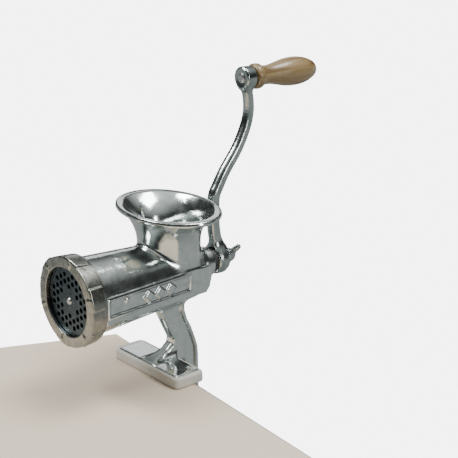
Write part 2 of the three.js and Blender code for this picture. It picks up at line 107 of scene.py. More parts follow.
# How bright the room is from straight down, 0, to straight up, 1: a dark band above the horizon.
greys = [(0.0, 0.34), (0.36, 0.50), (0.46, 0.40), (0.515, 0.13),
         (0.60, 0.035), (0.74, 0.07), (0.86, 0.5), (1.0, 1.15)]
ramp = height.color_ramp
ramp.elements[0].position, ramp.elements[1].position = greys[0][0], greys[-1][0]
for position, _ in greys[1:-1]:
    ramp.elements.new(position)
for element, (_, grey) in zip(ramp.elements, greys):
    element.color = (grey * 0.95, grey, grey * 0.985, 1)
upness = tree.nodes.new("ShaderNodeMath")
upness.operation = "MULTIPLY_ADD"
upness.inputs[1].default_value = 0.5
upness.inputs[2].default_value = 0.5
surround = tree.nodes.new("ShaderNodeBackground")
backdrop = tree.nodes.new("ShaderNodeBackground")
backdrop.inputs["Color"].default_value = (1.0, 1.0, 1.0, 1)
backdrop.inputs["Strength"].default_value = 6.0
ray = tree.nodes.new("ShaderNodeLightPath")
choose = tree.nodes.new("ShaderNodeMixShader")
output = tree.nodes.new("ShaderNodeOutputWorld")
tree.links.new(coordinate.outputs["Generated"], split.inputs[0])
tree.links.new(split.outputs["Z"], upness.inputs[0])
tree.links.new(upness.outputs[0], height.inputs["Fac"])
tree.links.new(height.outputs["Color"], surround.inputs["Color"])
tree.links.new(ray.outputs["Is Camera Ray"], choose.inputs["Fac"])
tree.links.new(surround.outputs[0], choose.inputs[1])
tree.links.new(backdrop.outputs[0], choose.inputs[2])
tree.links.new(choose.outputs[0], output.inputs["Surface"])

# name, place, aim, width, height, watts
softboxes = [
    ("key_light", (-0.9, -1.1, 1.7), (0, 0, 0.12), 0.9, 0.7, 44),
    ("top_light", (0.3, 0.5, 1.9), (0, 0, 0.12), 0.9, 0.9, 40),
    ("side_strip", (1.9, 0.35, 0.75), (0, 0, 0.15), 0.25, 1.1, 16),
    ("back_card", (-1.45, 1.25, 0.72), (0, 0, 0.05), 1.0, 0.5, 2.2),
]
for name, place, aim, width, tall, watts in softboxes:
    lamp = bpy.data.lights.new(name, "AREA")
    lamp.shape = "RECTANGLE"
    lamp.size, lamp.size_y, lamp.energy = width, tall, watts
    box = bpy.data.objects.new(name, lamp)
    box.location = place
    box.rotation_euler = (Vector(aim) - Vector(place)).to_track_quat("-Z", "Y").to_euler()
    bpy.context.scene.collection.objects.link(box)

# --- Body casting ---------------------------------------------------------------------------------
# The barrel, hopper, leg, jaw and lower arm are one iron casting, dipped in tin. It is shaped here as
# a distance field with the soft fillets of a sand casting, in millimetres, and then skinned.
MM = 0.001
GAP = 0.3


def soft_join(a, b, fillet):
    """The union of two fields, with a fillet between them."""
    mix = np.clip(0.5 + 0.5 * (b - a) / fillet, 0, 1)
    return b + (a - b) * mix - fillet * mix * (1 - mix)


def soft_cut(a, b, fillet):
    """What two fields share, with its edge rounded."""
    return -soft_join(-a, -b, fillet)


def outline_field(u, v, points):
    """Signed distance to a closed outline, negative inside it."""
    nearest = np.full(u.shape, 1e9)
    inside = np.zeros(u.shape, bool)
    for (u0, v0), (u1, v1) in zip(points, points[1:] + points[:1]):
        du, dv = u1 - u0, v1 - v0
        along = np.clip(((u - u0) * du + (v - v0) * dv) / (du * du + dv * dv), 0, 1)
        nearest = np.minimum(nearest, (u - u0 - along * du) ** 2 + (v - v0 - along * dv) ** 2)
        if dv != 0:
            crossing = ((v0 > v) != (v1 > v)) & (u < u0 + du * (v - v0) / dv)
            inside ^= crossing
    return np.where(inside, -1, 1) * np.sqrt(nearest)


def step_up(value, width):
    """0 below -width/2, 1 above width/2, smooth between."""
    t = np.clip(value / width + 0.5, 0, 1)
    return t * t * (3 - 2 * t)


def slope_of(field, points):
    """The field's gradient at the points."""
    nudge = 0.02
    columns = []
    for axis in range(3):
        shift = np.zeros(3)
        shift[axis] = nudge
        ahead, behind = points + shift, points - shift
        columns.append((field(*ahead.T) - field(*behind.T)) / (2 * nudge))
    return np.stack(columns, 1)


def cast_piece(name, field, low, high, step):
    """Skins the surface where field(x, y, z) is zero, and gives it the field's own normals."""
    low = np.array(low, float) - 2 * step
    counts = np.ceil((np.array(high, float) + 2 * step - low) / step).astype(int) + 1
    stride = 4
    coarse_axes = [low[k] + step * np.arange(0, counts[k] + stride, stride) for k in range(3)]
    coarse = field(*[g.ravel() for g in np.meshgrid(*coarse_axes, indexing="ij")])
    coarse = coarse.reshape([len(a) for a in coarse_axes])
    fine = coarse.repeat(stride, 0).repeat(stride, 1).repeat(stride, 2)
    half = stride // 2
    fine = fine[half:half + counts[0], half:half + counts[1], half:half + counts[2]]
    values = np.where(fine < 0, -1.0, 1.0)
    near = np.argwhere(np.abs(fine) < stride * step * 1.7)
    batch = 400000
    for start in range(0, len(near), batch):
        block = near[start:start + batch]
        values[tuple(block.T)] = field(*(low + step * block).T)
    inside = values < 0
    cells = [inside[i:counts[0] - 1 + i, j:counts[1] - 1 + j, k:counts[2] - 1 + k]
             for i in (0, 1) for j in (0, 1) for k in (0, 1)]
    filled = sum(c.astype(np.int8) for c in cells)
    active = np.argwhere((filled > 0) & (filled < 8))
    number = np.full(counts - 1, -1)
    number[tuple(active.T)] = np.arange(len(active))
    total = np.zeros((len(active), 3))
    hits = np.zeros(len(active))
    for axis in range(3):
        for i in (0, 1):
            for j in (0, 1):
                start = np.insert([i, j], axis, 0)
                end = start + np.eye(3, dtype=int)[axis]
                a = values[tuple((active + start).T)]
                b = values[tuple((active + end).T)]
                crossed = (a < 0) != (b < 0)
                share = np.where(crossed, a / np.where(crossed, a - b, 1), 0)
                total += crossed[:, None] * (start + share[:, None] * (end - start))
                hits += crossed
    points = low + step * (active + total / hits[:, None])
    for _ in range(3):
        slope = slope_of(field, points)
        move = field(*points.T)[:, None] * slope / np.maximum((slope ** 2).sum(1), 0.05)[:, None]
        size = np.linalg.norm(move, axis=1, keepdims=True)
        points -= move * np.minimum(1, 0.45 * step / np.maximum(size, 1e-9))
    quads = []
    for axis in range(3):
        u, v = (axis + 1) % 3, (axis + 2) % 3
        first = [slice(1, -1)] * 3
        first[axis] = slice(0, -1)
        second = list(first)
        second[axis] = slice(1, None)
        a, b = inside[tuple(first)], inside[tuple(second)]
        for rising in (False, True):
            spots = np.argwhere((~a & b) if rising else (a & ~b))
            spots += 1
            spots[:, axis] -= 1
            ring = [(0, 0), (-1, 0), (-1, -1), (0, -1)]
            if rising:
                ring.reverse()
            corner_ids = []
            for du, dv in ring:
                cell = spots.copy()
                cell[:, u] += du
                cell[:, v] += dv
                corner_ids.append(number[tuple(cell.T)])
            quads.append(np.stack(corner_ids, 1))
    quads = np.concatenate(quads)
    mesh = bpy.data.meshes.new(name)
    mesh.from_pydata((points * MM).tolist(), [], quads.tolist())
    mesh.update()
    mesh.polygons.foreach_set("use_smooth", [True] * len(mesh.polygons))
    normals = slope_of(field, points)
    normals /= np.maximum(np.linalg.norm(normals, axis=1, keepdims=True), 1e-9)
    mesh.normals_split_custom_set_from_vertices(normals.tolist())
    made = bpy.data.objects.new(name, mesh)
    bpy.context.scene.collection.objects.link(made)
    return made


ring_low, ring_high = (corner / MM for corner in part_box("ring_nut"))
plate_low, plate_high = (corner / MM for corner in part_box("cutter_plate"))
body_low, body_high = (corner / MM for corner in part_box("body_casting"))
pad_low_mm, pad_high_mm = pad_low / MM, pad_high / MM
axis_z = (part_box("thrust_washer")[0].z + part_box("thrust_washer")[1].z) / 2 / MM
barrel_front, barrel_back = ring_high.y - 0.5, 50.0
nose_radius, tail_radius = 42, 33
band_front, band_back = -95, 50
collar_end = body_high.y
hopper_y, hopper_top = 17.3, body_high.z
rim_half_x, rim_half_y = body_high.x, 48.7
neck_radius, neck_top, flare_power = 34.0, 140.0, 2.6
hopper_wall = 3.8
lip_radius, lip_inset = 2.6, 2.7
jaw_bottom = 4.3
arm_half, boss_radius, boss_z = 7.8, 13, -72
web_half, flange_half = 7.4, 10
plate_bore, opening_radius = 41.3, 37


def barrel_radius(y):
    """The barrel tapers from its nose to its tail."""
    return nose_radius + (tail_radius - nose_radius) * (y - barrel_front) / (barrel_back - barrel_front)


def relief(y, z):
    """Height of the side band's face: a sunken panel with a pip and three lozenges in it."""
    panel = outline_field(y, z, [(-90, 98), (19, 98), (19, 115), (-90, 115)])
    height = 0.7 * np.exp(-((panel - 1.2) / 1.3) ** 2) - 1.4 * step_up(-panel - 0.6, 2.4)
    pip = np.hypot(y + 67, z - 110.5)
    height = height + 2.0 * np.sqrt(np.clip(1 - (pip / 3.2) ** 2, 0, 1))
    for middle in (-38, -23, -8):
        lozenge = np.abs(y - middle) / 7.2 + np.abs(z - 106.5) / 6.8
        height = height + 1.9 * step_up(1 - lozenge, 0.5)
    return height


def hopper_side(x, y, z):
    """Distance from the hopper's outer flare, negative within."""
    rise = np.clip((z - neck_top) / (hopper_top - neck_top), 0, 1.05)
    flare = rise ** flare_power
    half_x = neck_radius + (rim_half_x - 0.6 - neck_radius) * flare
    half_y = neck_radius + (rim_half_y - 0.6 - neck_radius) * flare
    u, v = x / half_x, (y - hopper_y) / half_y
    q = np.maximum(np.hypot(u, v), 1e-6)
    across = np.hypot(u / half_x, v / half_y) / q
    growth = flare_power * np.maximum(rise, 1e-6) ** (flare_power - 1) / (hopper_top - neck_top)
    lean = growth * ((rim_half_x - neck_radius) * u * u + (rim_half_y - neck_radius) * v * v) / q ** 2
    lean = np.where(rise > 0, lean, 0)
    return (q - 1) / across / np.sqrt(1 + lean ** 2)


leg_rear = [(30, 90), (30, 65), (33, 54), (38.5, 43), (44, 28.5), (47.2, 18), (48, 8)]
leg_outline = leg_rear + [(48, -77), (45, -80), (29, -80), (26, -77), (26, -62), (30, -56), (30, 4.3),
                          (4, 5.5), (-11, 10.5), (-3, 15.5), (8, 21.5), (14.5, 27), (15.5, 32.5),
                          (0, 66), (-8, 90)]
leg_flange = leg_rear + [(48, -80), (43, -80)] + [(y - 4.8, z) for y, z in reversed(leg_rear)]


def body_field(x, y, z):
    """The whole casting: its outsides are joined first, then its hollows are cut."""
    side = np.abs(x)
    radius = np.hypot(x, z - axis_z)
    # Barrel and collar, turned about the feed axis, with the flat band along each side.
    barrel = outline_field(radius, y, [
        (-50, plate_high.y - 4), (44, plate_high.y - 4), (44, barrel_front),
        (nose_radius, barrel_front + 0.6),
        (barrel_radius(38), 38), (barrel_radius(38) - 1.2, 42), (26, 49), (19, 53),
        (17, 60), (17, collar_end - 1.6), (15.4, collar_end), (-50, collar_end)])
    taper = (32.8 - nose_radius) * (y - band_front) / (band_back - band_front)
    width = nose_radius + taper + relief(y, z)
    band = soft_cut(side - width, outline_field(y, z, [
        (band_front, 88.6), (42, 88.6), (47, 94), (band_back, 104), (band_back, 119),
        (band_front, 119)]), 1.6)
    flats = np.where((y > band_front) & (y < 38) & (z > 90) & (z < 118), side - width, -99)
    body = soft_join(np.maximum(barrel, flats), band, 1.0)
    # Hopper: a round neck that flares to an oval mouth, with a bead round its lip.
    flare = hopper_side(x, y, z)
    funnel = soft_cut(soft_cut(flare, z - hopper_top, 1.2), axis_z - z, 1)
    body = soft_join(body, funnel, 5)
    lip_x, lip_y = rim_half_x - lip_inset, rim_half_y - lip_inset
    lip_u, lip_v = x / lip_x, (y - hopper_y) / lip_y
    lip_q = np.maximum(np.hypot(lip_u, lip_v), 1e-6)
    lip_gap = (lip_q - 1) * lip_q / np.hypot(lip_u / lip_x, lip_v / lip_y)
    lip = np.hypot(lip_gap, z - hopper_top + lip_radius) - lip_radius
    body = soft_join(body, lip, 1.6)
    # Leg: a web with a wider flange down its back, spreading into the jaw plate.
    web = soft_cut(outline_field(y, z, leg_outline), side - web_half, 4.5)
    flange = soft_cut(outline_field(y, z, leg_flange), side - flange_half, 1.6)
    leg = soft_join(web, flange, 1.2)
    jaw_u, jaw_v = side - 47.5, np.abs(y) - 13
    crown = 12.6 + 0.5 * np.clip(1 - (x / 50) ** 2, 0, 1)
    jaw = np.hypot(np.maximum(jaw_u, 0), np.maximum(jaw_v, 0)) - 3 + np.minimum(np.maximum(jaw_u, jaw_v), 0)
    jaw = soft_cut(jaw, np.maximum(z - crown, jaw_bottom - z), 2)
    leg = soft_join(leg, jaw, 9)
    leg = np.maximum(leg, np.where((y < 29) & (z > -5), jaw_bottom - z, -99))
    # Lower arm, and the boss that the clamp screw goes through.
    arm = soft_cut(np.maximum(side - arm_half, np.abs(z - boss_z) - 8), np.maximum(-y, y - 30), 3)
    boss = soft_cut(np.hypot(x, y) - boss_radius, np.abs(z - boss_z) - 9.9, 3)
    lower = soft_join(leg, soft_join(arm, boss, 5), 5)
    body = soft_join(body, lower, 7)
    # Hollows: the stepped bore, the hopper's inside and the screw's hole.
    bore = outline_field(radius, y, [
        (-50, -130), (plate_bore, -130), (plate_bore, plate_high.y + GAP),
        (37, plate_high.y + GAP), (29, 36), (22, 45), (10, 46), (10, 80), (-50, 80)])
    inside_hopper = soft_cut(flare + hopper_wall, axis_z - z, 1)
    hollow = soft_join(bore, inside_hopper, 3)
    body = soft_cut(body, -hollow, 0.9)
    screw_hole = np.maximum(np.hypot(x, y) - 6.4, np.abs(z - boss_z) - 20)
    return np.maximum(body, -screw_hole)


body = cast_piece("grinder_body", body_field, body_low, body_high, 1.5)
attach(body, "housing")
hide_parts("body_casting")


def node_links(material):
    """The material's nodes, links and shader, ready to be wired."""
    material.use_nodes = True
    return material.node_tree.nodes, material.node_tree.links, material.node_tree.nodes["Principled BSDF"]


def noise(nodes, links, scale, detail, stretch=(1, 1, 1)):
    """A noise texture on Object coordinates; scale is in waves a metre."""
    place = nodes.new("ShaderNodeTexCoord")
    mapping = nodes.new("ShaderNodeMapping")
    mapping.inputs["Scale"].default_value = stretch
    texture = nodes.new("ShaderNodeTexNoise")
    texture.inputs["Scale"].default_value = scale
    texture.inputs["Detail"].default_value = detail
    links.new(place.outputs["Object"], mapping.inputs["Vector"])
    links.new(mapping.outputs["Vector"], texture.inputs["Vector"])
    return texture.outputs["Fac"]


def blend_colours(nodes, links, factor, stops):
    """Colours by the factor, between stops of (position, colour)."""
    ramp_node = nodes.new("ShaderNodeValToRGB")
    colours = ramp_node.color_ramp
    colours.elements[0].position, colours.elements[1].position = stops[0][0], stops[-1][0]
    for position, _ in stops[1:-1]:
        colours.elements.new(position)
    for element, (_, colour) in zip(colours.elements, stops):
        element.color = (*colour, 1)
    links.new(factor, ramp_node.inputs["Fac"])
    return ramp_node.outputs["Color"]


def in_range(nodes, links, factor, low, high):
    """Stretches a noise's usual spread, 0.3 to 0.7, over low to high."""
    scale = nodes.new("ShaderNodeMapRange")
    scale.inputs["To Min"].default_value = low
    scale.inputs["To Max"].default_value = high
    scale.inputs["From Min"].default_value = 0.3
    scale.inputs["From Max"].default_value = 0.7
    links.new(factor, scale.inputs["Value"])
    return scale.outputs["Result"]


def bumped(nodes, links, shader, layers):
    """Chains bumps, each (height, strength, distance in metres), onto the shader's normal."""
    previous = None
    for height, strength, distance in layers:
        bump = nodes.new("ShaderNodeBump")
        bump.inputs["Strength"].default_value = strength
        bump.inputs["Distance"].default_value = distance
        links.new(height, bump.inputs["Height"])
        if previous is not None:
            links.new(previous, bump.inputs["Normal"])
        previous = bump.outputs["Normal"]
    links.new(previous, shader.inputs["Normal"])


# Hot-dipped tin: a bright skin with slow waves where it ran and froze, small pits, and dull patches.
tin = bpy.data.materials.new("hot_dipped_tin")
nodes, links, shader = node_links(tin)
shader.inputs["Metallic"].default_value = 1.0
shader.inputs["IOR"].default_value = 2.0
runs = noise(nodes, links, 46, 3)
patches = noise(nodes, links, 90, 6)
pits = noise(nodes, links, 700, 4)
links.new(blend_colours(nodes, links, patches, [
    (0.30, (0.53, 0.575, 0.56)), (0.5, (0.60, 0.64, 0.625)), (0.72, (0.66, 0.69, 0.675))]),
    shader.inputs["Base Color"])
links.new(in_range(nodes, links, patches, 0.11, 0.19), shader.inputs["Roughness"])
bumped(nodes, links, shader, [(runs, 0.30, 0.0016), (pits, 0.05, 0.0003)])
body.data.materials.append(tin)

# --- Ring nut -------------------------------------------------------------------------------------
# A tinned iron ring screwed on the barrel's nose to hold the plate. Its rim carries six raised pads
# for the hand, and a short bead across the face at each pad.
ring_front, ring_back = ring_low.y + 1.6, ring_high.y
pad_count, pad_turn = 6, math.radians(18)
pad_pitch = math.tau / pad_count
thread_bore = 44.3


def ring_field(x, y, z):
    """A turned ring with a pad, a bead and a knob repeated round it."""
    radius = np.hypot(x, z - axis_z)
    turn = np.arctan2(z - axis_z, x) - pad_turn
    fold = (turn + pad_pitch / 2) % pad_pitch - pad_pitch / 2
    shell = outline_field(radius, y, [
        (opening_radius + 0.6, ring_front), (47.6, ring_front), (48.2, ring_front + 1), (46.6, ring_back),
        (thread_bore, ring_back), (thread_bore, plate_high.y - 4.6), (plate_bore, plate_high.y - 5),
        (plate_bore, plate_low.y - GAP), (opening_radius, plate_low.y - GAP),
        (opening_radius, ring_front + 0.6)]) - 0.15
    depth = (y - ring_front) / (ring_back - ring_front)
    across = np.abs(radius * np.sin(fold)) - 11.6
    pad = soft_cut(np.maximum(radius - (50 - 2.4 * depth), 45.5 - radius), across, 1.6)
    pad = soft_cut(pad, np.maximum(ring_front + 0.3 - y, y - (ring_back - 2)), 1.6)
    along = np.clip(radius * np.cos(fold), 40.5, 47.2)
    bead = np.sqrt((radius * np.cos(fold) - along) ** 2 + (radius * np.sin(fold)) ** 2
                   + (y - ring_front - 0.8) ** 2) - 1.3
    ring = soft_join(shell, pad, 1.2)
    knob = np.sqrt(((radius * np.cos(fold) - 43.6) / 1.3) ** 2 + (radius * np.sin(fold) / 1.3) ** 2
                   + (y - ring_front - 0.5) ** 2) - 2.05
    ring = soft_join(soft_join(ring, bead, 1.6), knob, 0.8)
    return soft_cut(ring, opening_radius - radius, 0.6)


ring = cast_piece("ring_nut_cast", ring_field, ring_low, ring_high, 0.85)
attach(ring, "ring_body")
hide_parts("ring_nut")

# The ring's tin is duller, its face turned; its colour is painted dark, a painted reflection of a dark
# brown table top that the pale slab does not give.
ring_tin_painted_reflection = bpy.data.materials.new("ring_tin_painted_reflection")
nodes, links, shader = node_links(ring_tin_painted_reflection)
shader.inputs["Metallic"].default_value = 1.0
patches = noise(nodes, links, 140, 6)
pits = noise(nodes, links, 900, 4)
runs = noise(nodes, links, 60, 3)
# The dark base colours below are a painted reflection, not the tin's own colour.
links.new(blend_colours(nodes, links, patches, [
    (0.30, (0.22, 0.225, 0.205)), (0.5, (0.27, 0.275, 0.25)), (0.72, (0.33, 0.335, 0.31))]),
    shader.inputs["Base Color"])
links.new(in_range(nodes, links, patches, 0.22, 0.30), shader.inputs["Roughness"])
bumped(nodes, links, shader, [(runs, 0.18, 0.0012), (pits, 0.10, 0.0003)])
ring.data.materials.append(ring_tin_painted_reflection)

# --- Cutter plate ---------------------------------------------------------------------------------
# A hardened steel disc with rows of drilled holes round a plain middle. The rows, the drilling and
# the disc are one Geometry Nodes tree; the disc drops into the barrel's nose against the knife.
plate_thick = plate_high.y - plate_low.y
plate_back = Vector((0, plate_high.y, axis_z)) * MM
rows_across, row_spacing = 13, math.sqrt(0.75)
plate_tree = bpy.data.node_groups.new("drilled_plate", "GeometryNodeTree")
face = plate_tree.interface
face.new_socket("Geometry", in_out="INPUT", socket_type="NodeSocketGeometry")
face.new_socket("Geometry", in_out="OUTPUT", socket_type="NodeSocketGeometry")
sizes = {
    "Plate Radius": (plate_high.x - 0.05) * MM, "Plate Thickness": plate_thick * MM,
    "Hole Radius": 2.7 * MM, "Hole Pitch": 8 * MM, "Plain Middle": 15 * MM, "Drilled To": 30 * MM,
    "Pin Hole Radius": 4.2 * MM,
}
sockets = {name: face.new_socket(name, in_out="INPUT", socket_type="NodeSocketFloat") for name in sizes}
finish_socket = face.new_socket("Finish", in_out="INPUT", socket_type="NodeSocketMaterial")


def plate_node(kind, **settings):
    made = plate_tree.nodes.new(kind)
    for key, value in settings.items():
        setattr(made, key, value)
    return made


def wire(source, target):
    plate_tree.links.new(source, target)


given = plate_node("NodeGroupInput")
grid = plate_node("GeometryNodeMeshGrid")
grid.inputs["Vertices X"].default_value = rows_across
grid.inputs["Vertices Y"].default_value = rows_across
for side, spacing in (("Size X", 1), ("Size Y", row_spacing)):
    span = plate_node("ShaderNodeMath", operation="MULTIPLY")
    span.inputs[1].default_value = (rows_across - 1) * spacing
    wire(given.outputs["Hole Pitch"], span.inputs[0])
    wire(span.outputs[0], grid.inputs[side])
where = plate_node("GeometryNodeInputPosition")
parts = plate_node("ShaderNodeSeparateXYZ")
wire(where.outputs[0], parts.inputs[0])
row_step = plate_node("ShaderNodeMath", operation="MULTIPLY")
row_step.inputs[1].default_value = row_spacing
wire(given.outputs["Hole Pitch"], row_step.inputs[0])
row = plate_node("ShaderNodeMath", operation="DIVIDE")
wire(parts.outputs["Y"], row.inputs[0])
wire(row_step.outputs[0], row.inputs[1])
whole_row = plate_node("ShaderNodeMath", operation="ROUND")
wire(row.outputs[0], whole_row.inputs[0])
odd = plate_node("ShaderNodeMath", operation="FLOORED_MODULO")
odd.inputs[1].default_value = 2
wire(whole_row.outputs[0], odd.inputs[0])
shift = plate_node("ShaderNodeMath", operation="MULTIPLY")
wire(odd.outputs[0], shift.inputs[0])
half_pitch = plate_node("ShaderNodeMath", operation="MULTIPLY")
half_pitch.inputs[1].default_value = 0.5
wire(given.outputs["Hole Pitch"], half_pitch.inputs[0])
wire(half_pitch.outputs[0], shift.inputs[1])
sideways = plate_node("ShaderNodeCombineXYZ")
wire(shift.outputs[0], sideways.inputs["X"])
stagger = plate_node("GeometryNodeSetPosition")
wire(grid.outputs["Mesh"], stagger.inputs["Geometry"])
wire(sideways.outputs[0], stagger.inputs["Offset"])
distance = plate_node("ShaderNodeVectorMath", operation="LENGTH")
wire(where.outputs[0], distance.inputs[0])
too_near = plate_node("FunctionNodeCompare", data_type="FLOAT", operation="LESS_THAN")
wire(distance.outputs["Value"], too_near.inputs["A"])
wire(given.outputs["Plain Middle"], too_near.inputs["B"])
too_far = plate_node("FunctionNodeCompare", data_type="FLOAT", operation="GREATER_THAN")
wire(distance.outputs["Value"], too_far.inputs["A"])
wire(given.outputs["Drilled To"], too_far.inputs["B"])
either = plate_node("FunctionNodeBooleanMath", operation="OR")
wire(too_near.outputs["Result"], either.inputs[0])
wire(too_far.outputs["Result"], either.inputs[1])
drop = plate_node("GeometryNodeDeleteGeometry", domain="POINT")
wire(stagger.outputs["Geometry"], drop.inputs["Geometry"])
wire(either.outputs[0], drop.inputs["Selection"])
hole_circle = plate_node("GeometryNodeCurvePrimitiveCircle")
hole_circle.inputs["Resolution"].default_value = 20
wire(given.outputs["Hole Radius"], hole_circle.inputs["Radius"])
drilled = plate_node("GeometryNodeInstanceOnPoints")
wire(drop.outputs["Geometry"], drilled.inputs["Points"])
wire(hole_circle.outputs["Curve"], drilled.inputs["Instance"])
real_holes = plate_node("GeometryNodeRealizeInstances")
wire(drilled.outputs["Instances"], real_holes.inputs["Geometry"])
rim_circle = plate_node("GeometryNodeCurvePrimitiveCircle")
rim_circle.inputs["Resolution"].default_value = 160
wire(given.outputs["Plate Radius"], rim_circle.inputs["Radius"])
pin_circle = plate_node("GeometryNodeCurvePrimitiveCircle")
pin_circle.inputs["Resolution"].default_value = 40
wire(given.outputs["Pin Hole Radius"], pin_circle.inputs["Radius"])
together = plate_node("GeometryNodeJoinGeometry")
for source in (real_holes.outputs["Geometry"], rim_circle.outputs["Curve"], pin_circle.outputs["Curve"]):
    wire(source, together.inputs["Geometry"])
filled_face = plate_node("GeometryNodeFillCurve")
wire(together.outputs["Geometry"], filled_face.inputs["Curve"])
thicken = plate_node("GeometryNodeExtrudeMesh", mode="FACES")
thicken.inputs["Individual"].default_value = False
upward = plate_node("ShaderNodeCombineXYZ")
upward.inputs["Z"].default_value = 1.0
wire(filled_face.outputs["Mesh"], thicken.inputs["Mesh"])
wire(upward.outputs[0], thicken.inputs["Offset"])
wire(given.outputs["Plate Thickness"], thicken.inputs["Offset Scale"])
under = plate_node("GeometryNodeFlipFaces")
wire(filled_face.outputs["Mesh"], under.inputs["Mesh"])
both = plate_node("GeometryNodeJoinGeometry")
wire(thicken.outputs["Mesh"], both.inputs["Geometry"])
wire(under.outputs["Mesh"], both.inputs["Geometry"])
weld = plate_node("GeometryNodeMergeByDistance")
weld.inputs["Distance"].default_value = 1e-6
wire(both.outputs["Geometry"], weld.inputs["Geometry"])
realised = plate_node("GeometryNodeRealizeInstances")
wire(weld.outputs["Geometry"], realised.inputs["Geometry"])
painted = plate_node("GeometryNodeSetMaterial")
wire(realised.outputs["Geometry"], painted.inputs["Geometry"])
wire(given.outputs["Finish"], painted.inputs["Material"])
result = plate_node("NodeGroupOutput")
wire(painted.outputs["Geometry"], result.inputs["Geometry"])

# Dark ground steel: blue-black, with faint rings from the grinder and lighter worn spots.
plate_steel = bpy.data.materials.new("dark_ground_steel")
nodes, links, shader = node_links(plate_steel)
shader.inputs["Metallic"].default_value = 1.0
patches = noise(nodes, links, 160, 5)
scratches = noise(nodes, links, 500, 3, (1, 1, 0.08))
links.new(blend_colours(nodes, links, patches, [
    (0.3, (0.030, 0.044, 0.055)), (0.55, (0.048, 0.068, 0.083)), (0.75, (0.085, 0.11, 0.13))]),
    shader.inputs["Base Color"])
links.new(in_range(nodes, links, patches, 0.26, 0.42), shader.inputs["Roughness"])
bumped(nodes, links, shader, [(scratches, 0.15, 0.0002)])

plate_seed = bpy.data.meshes.new("plate_seed")
plate_maker = bpy.data.objects.new("plate_maker", plate_seed)
bpy.context.scene.collection.objects.link(plate_maker)
plate_modifier = plate_maker.modifiers.new("drilled_plate", "NODES")
plate_modifier.node_group = plate_tree
for name, value in sizes.items():
    plate_modifier[sockets[name].identifier] = value
plate_modifier[finish_socket.identifier] = plate_steel
bpy.context.view_layer.update()
evaluated = plate_maker.evaluated_get(bpy.context.evaluated_depsgraph_get())
plate_mesh = bpy.data.meshes.new_from_object(evaluated)
plate_mesh.name = "drilled_cutter_plate"
bpy.data.objects.remove(plate_maker)
quarter = math.pi / 2
plate_mesh.transform(Matrix.Translation(plate_back)
                     @ Matrix.Rotation(quarter, 4, "X") @ Matrix.Rotation(quarter, 4, "Z"))
plate = bpy.data.objects.new("drilled_cutter_plate", plate_mesh)
bpy.context.scene.collection.objects.link(plate)
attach(plate, "plate_carriage")
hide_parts("cutter_plate")

# --- Plate key and knife --------------------------------------------------------------------------
# The pin that keys the plate in the barrel, and the cast four-winged knife that turns against its
# back. Both are ground steel; their solids already have the true shape and keep it.
ground_steel = bpy.data.materials.new("ground_steel")
nodes, links, shader = node_links(ground_steel)
shader.inputs["Metallic"].default_value = 1.0
patches = noise(nodes, links, 220, 5)
scratches = noise(nodes, links, 900, 3, (1, 0.1, 1))
links.new(blend_colours(nodes, links, patches, [
    (0.3, (0.36, 0.37, 0.38)), (0.7, (0.58, 0.59, 0.60))]), shader.inputs["Base Color"])
links.new(in_range(nodes, links, scratches, 0.2, 0.34), shader.inputs["Roughness"])
bumped(nodes, links, shader, [(scratches, 0.12, 0.0002)])


def dress_solid(name, finish):
    """Gives its finish to a piece that keeps its solid."""
    for material_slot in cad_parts[name].material_slots:
        material_slot.material = finish


dress_solid("plate_key", ground_steel)
dress_solid("knife", ground_steel)

# --- Auger ----------------------------------------------------------------------------------------
# A tinned iron screw that carries the meat forward: a tapering core with one helical flight, a round
# journal in the collar behind it, and a square end for the crank. Flight and core are one casting.
auger_low, auger_high = (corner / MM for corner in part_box("auger"))
auger_front, flight_end, flight_turns = auger_low.y, 40.0, 4.5
core_radius, flight_gap, square_half = 14, 6.4, 6
pitch = (flight_end - auger_front) / flight_turns


def auger_field(x, y, z):
    """Core and flight, then the journal, the square end and its tapped hole."""
    z = z - axis_z
    radius = np.hypot(x, z)
    t = np.clip((y - auger_front) / (flight_end - auger_front), 0, 1)
    core = core_radius - 2 * t
    reach = barrel_radius(y) - flight_gap - 4 * t
    phase = (y / pitch - np.arctan2(z, x) / math.tau) % 1
    across = np.abs(phase - 0.5) * pitch * 0.93
    half = 2.1 + 1.6 * np.clip((reach - radius) / 15, 0, 1)
    flight = soft_cut(across - half, radius - reach, 1.2)
    thread = soft_join(radius - core, flight, 5) * 0.9
    thread = soft_cut(thread, np.maximum(auger_front - y, y - flight_end), 1.2)
    shaft = outline_field(radius, y, [
        (-9, auger_front + 6), (12, auger_front + 6), (12, 45.2), (11.7, 45.5), (9.7, 45.5),
        (9.7, 75), (-9, 75)])
    square = np.maximum(np.abs(x), np.abs(z)) - square_half
    square = soft_cut(square, np.maximum(70 - y, y - auger_high.y), 0.8)
    whole = np.minimum(soft_join(thread, shaft, 1.0), square)
    tap = outline_field(radius, y, [(-9, 64), (4.2, 64), (4.2, 95), (-9, 95)])
    return np.maximum(whole, -tap)


auger = cast_piece("auger_casting", auger_field, auger_low, auger_high, 1.1)
auger.data.materials.append(tin)
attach(auger, "rotor")
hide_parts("auger")

# --- Auger stud -----------------------------------------------------------------------------------
# A turned steel stud driven into the auger's nose and pinned. Its square drives the knife, and its
# round tip turns in the plate's middle hole, where its polished end shows.
stud_low, stud_high = (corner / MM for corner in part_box("auger_stud"))
stud_axis = (0, 0, axis_z)
tip_end, root_start, stud_square_half = -103.3, -95.2, 5.45


def skinned(name, points, faces, normals=None):
    """A smooth object from points in millimetres and faces."""
    mesh = bpy.data.meshes.new(name)
    mesh.from_pydata((np.asarray(points) * MM).tolist(), [], faces)
    mesh.update()
    mesh.polygons.foreach_set("use_smooth", [True] * len(mesh.polygons))
    if normals is not None:
        mesh.normals_split_custom_set_from_vertices(np.asarray(normals).tolist())
    made = bpy.data.objects.new(name, mesh)
    bpy.context.scene.collection.objects.link(made)
    return made


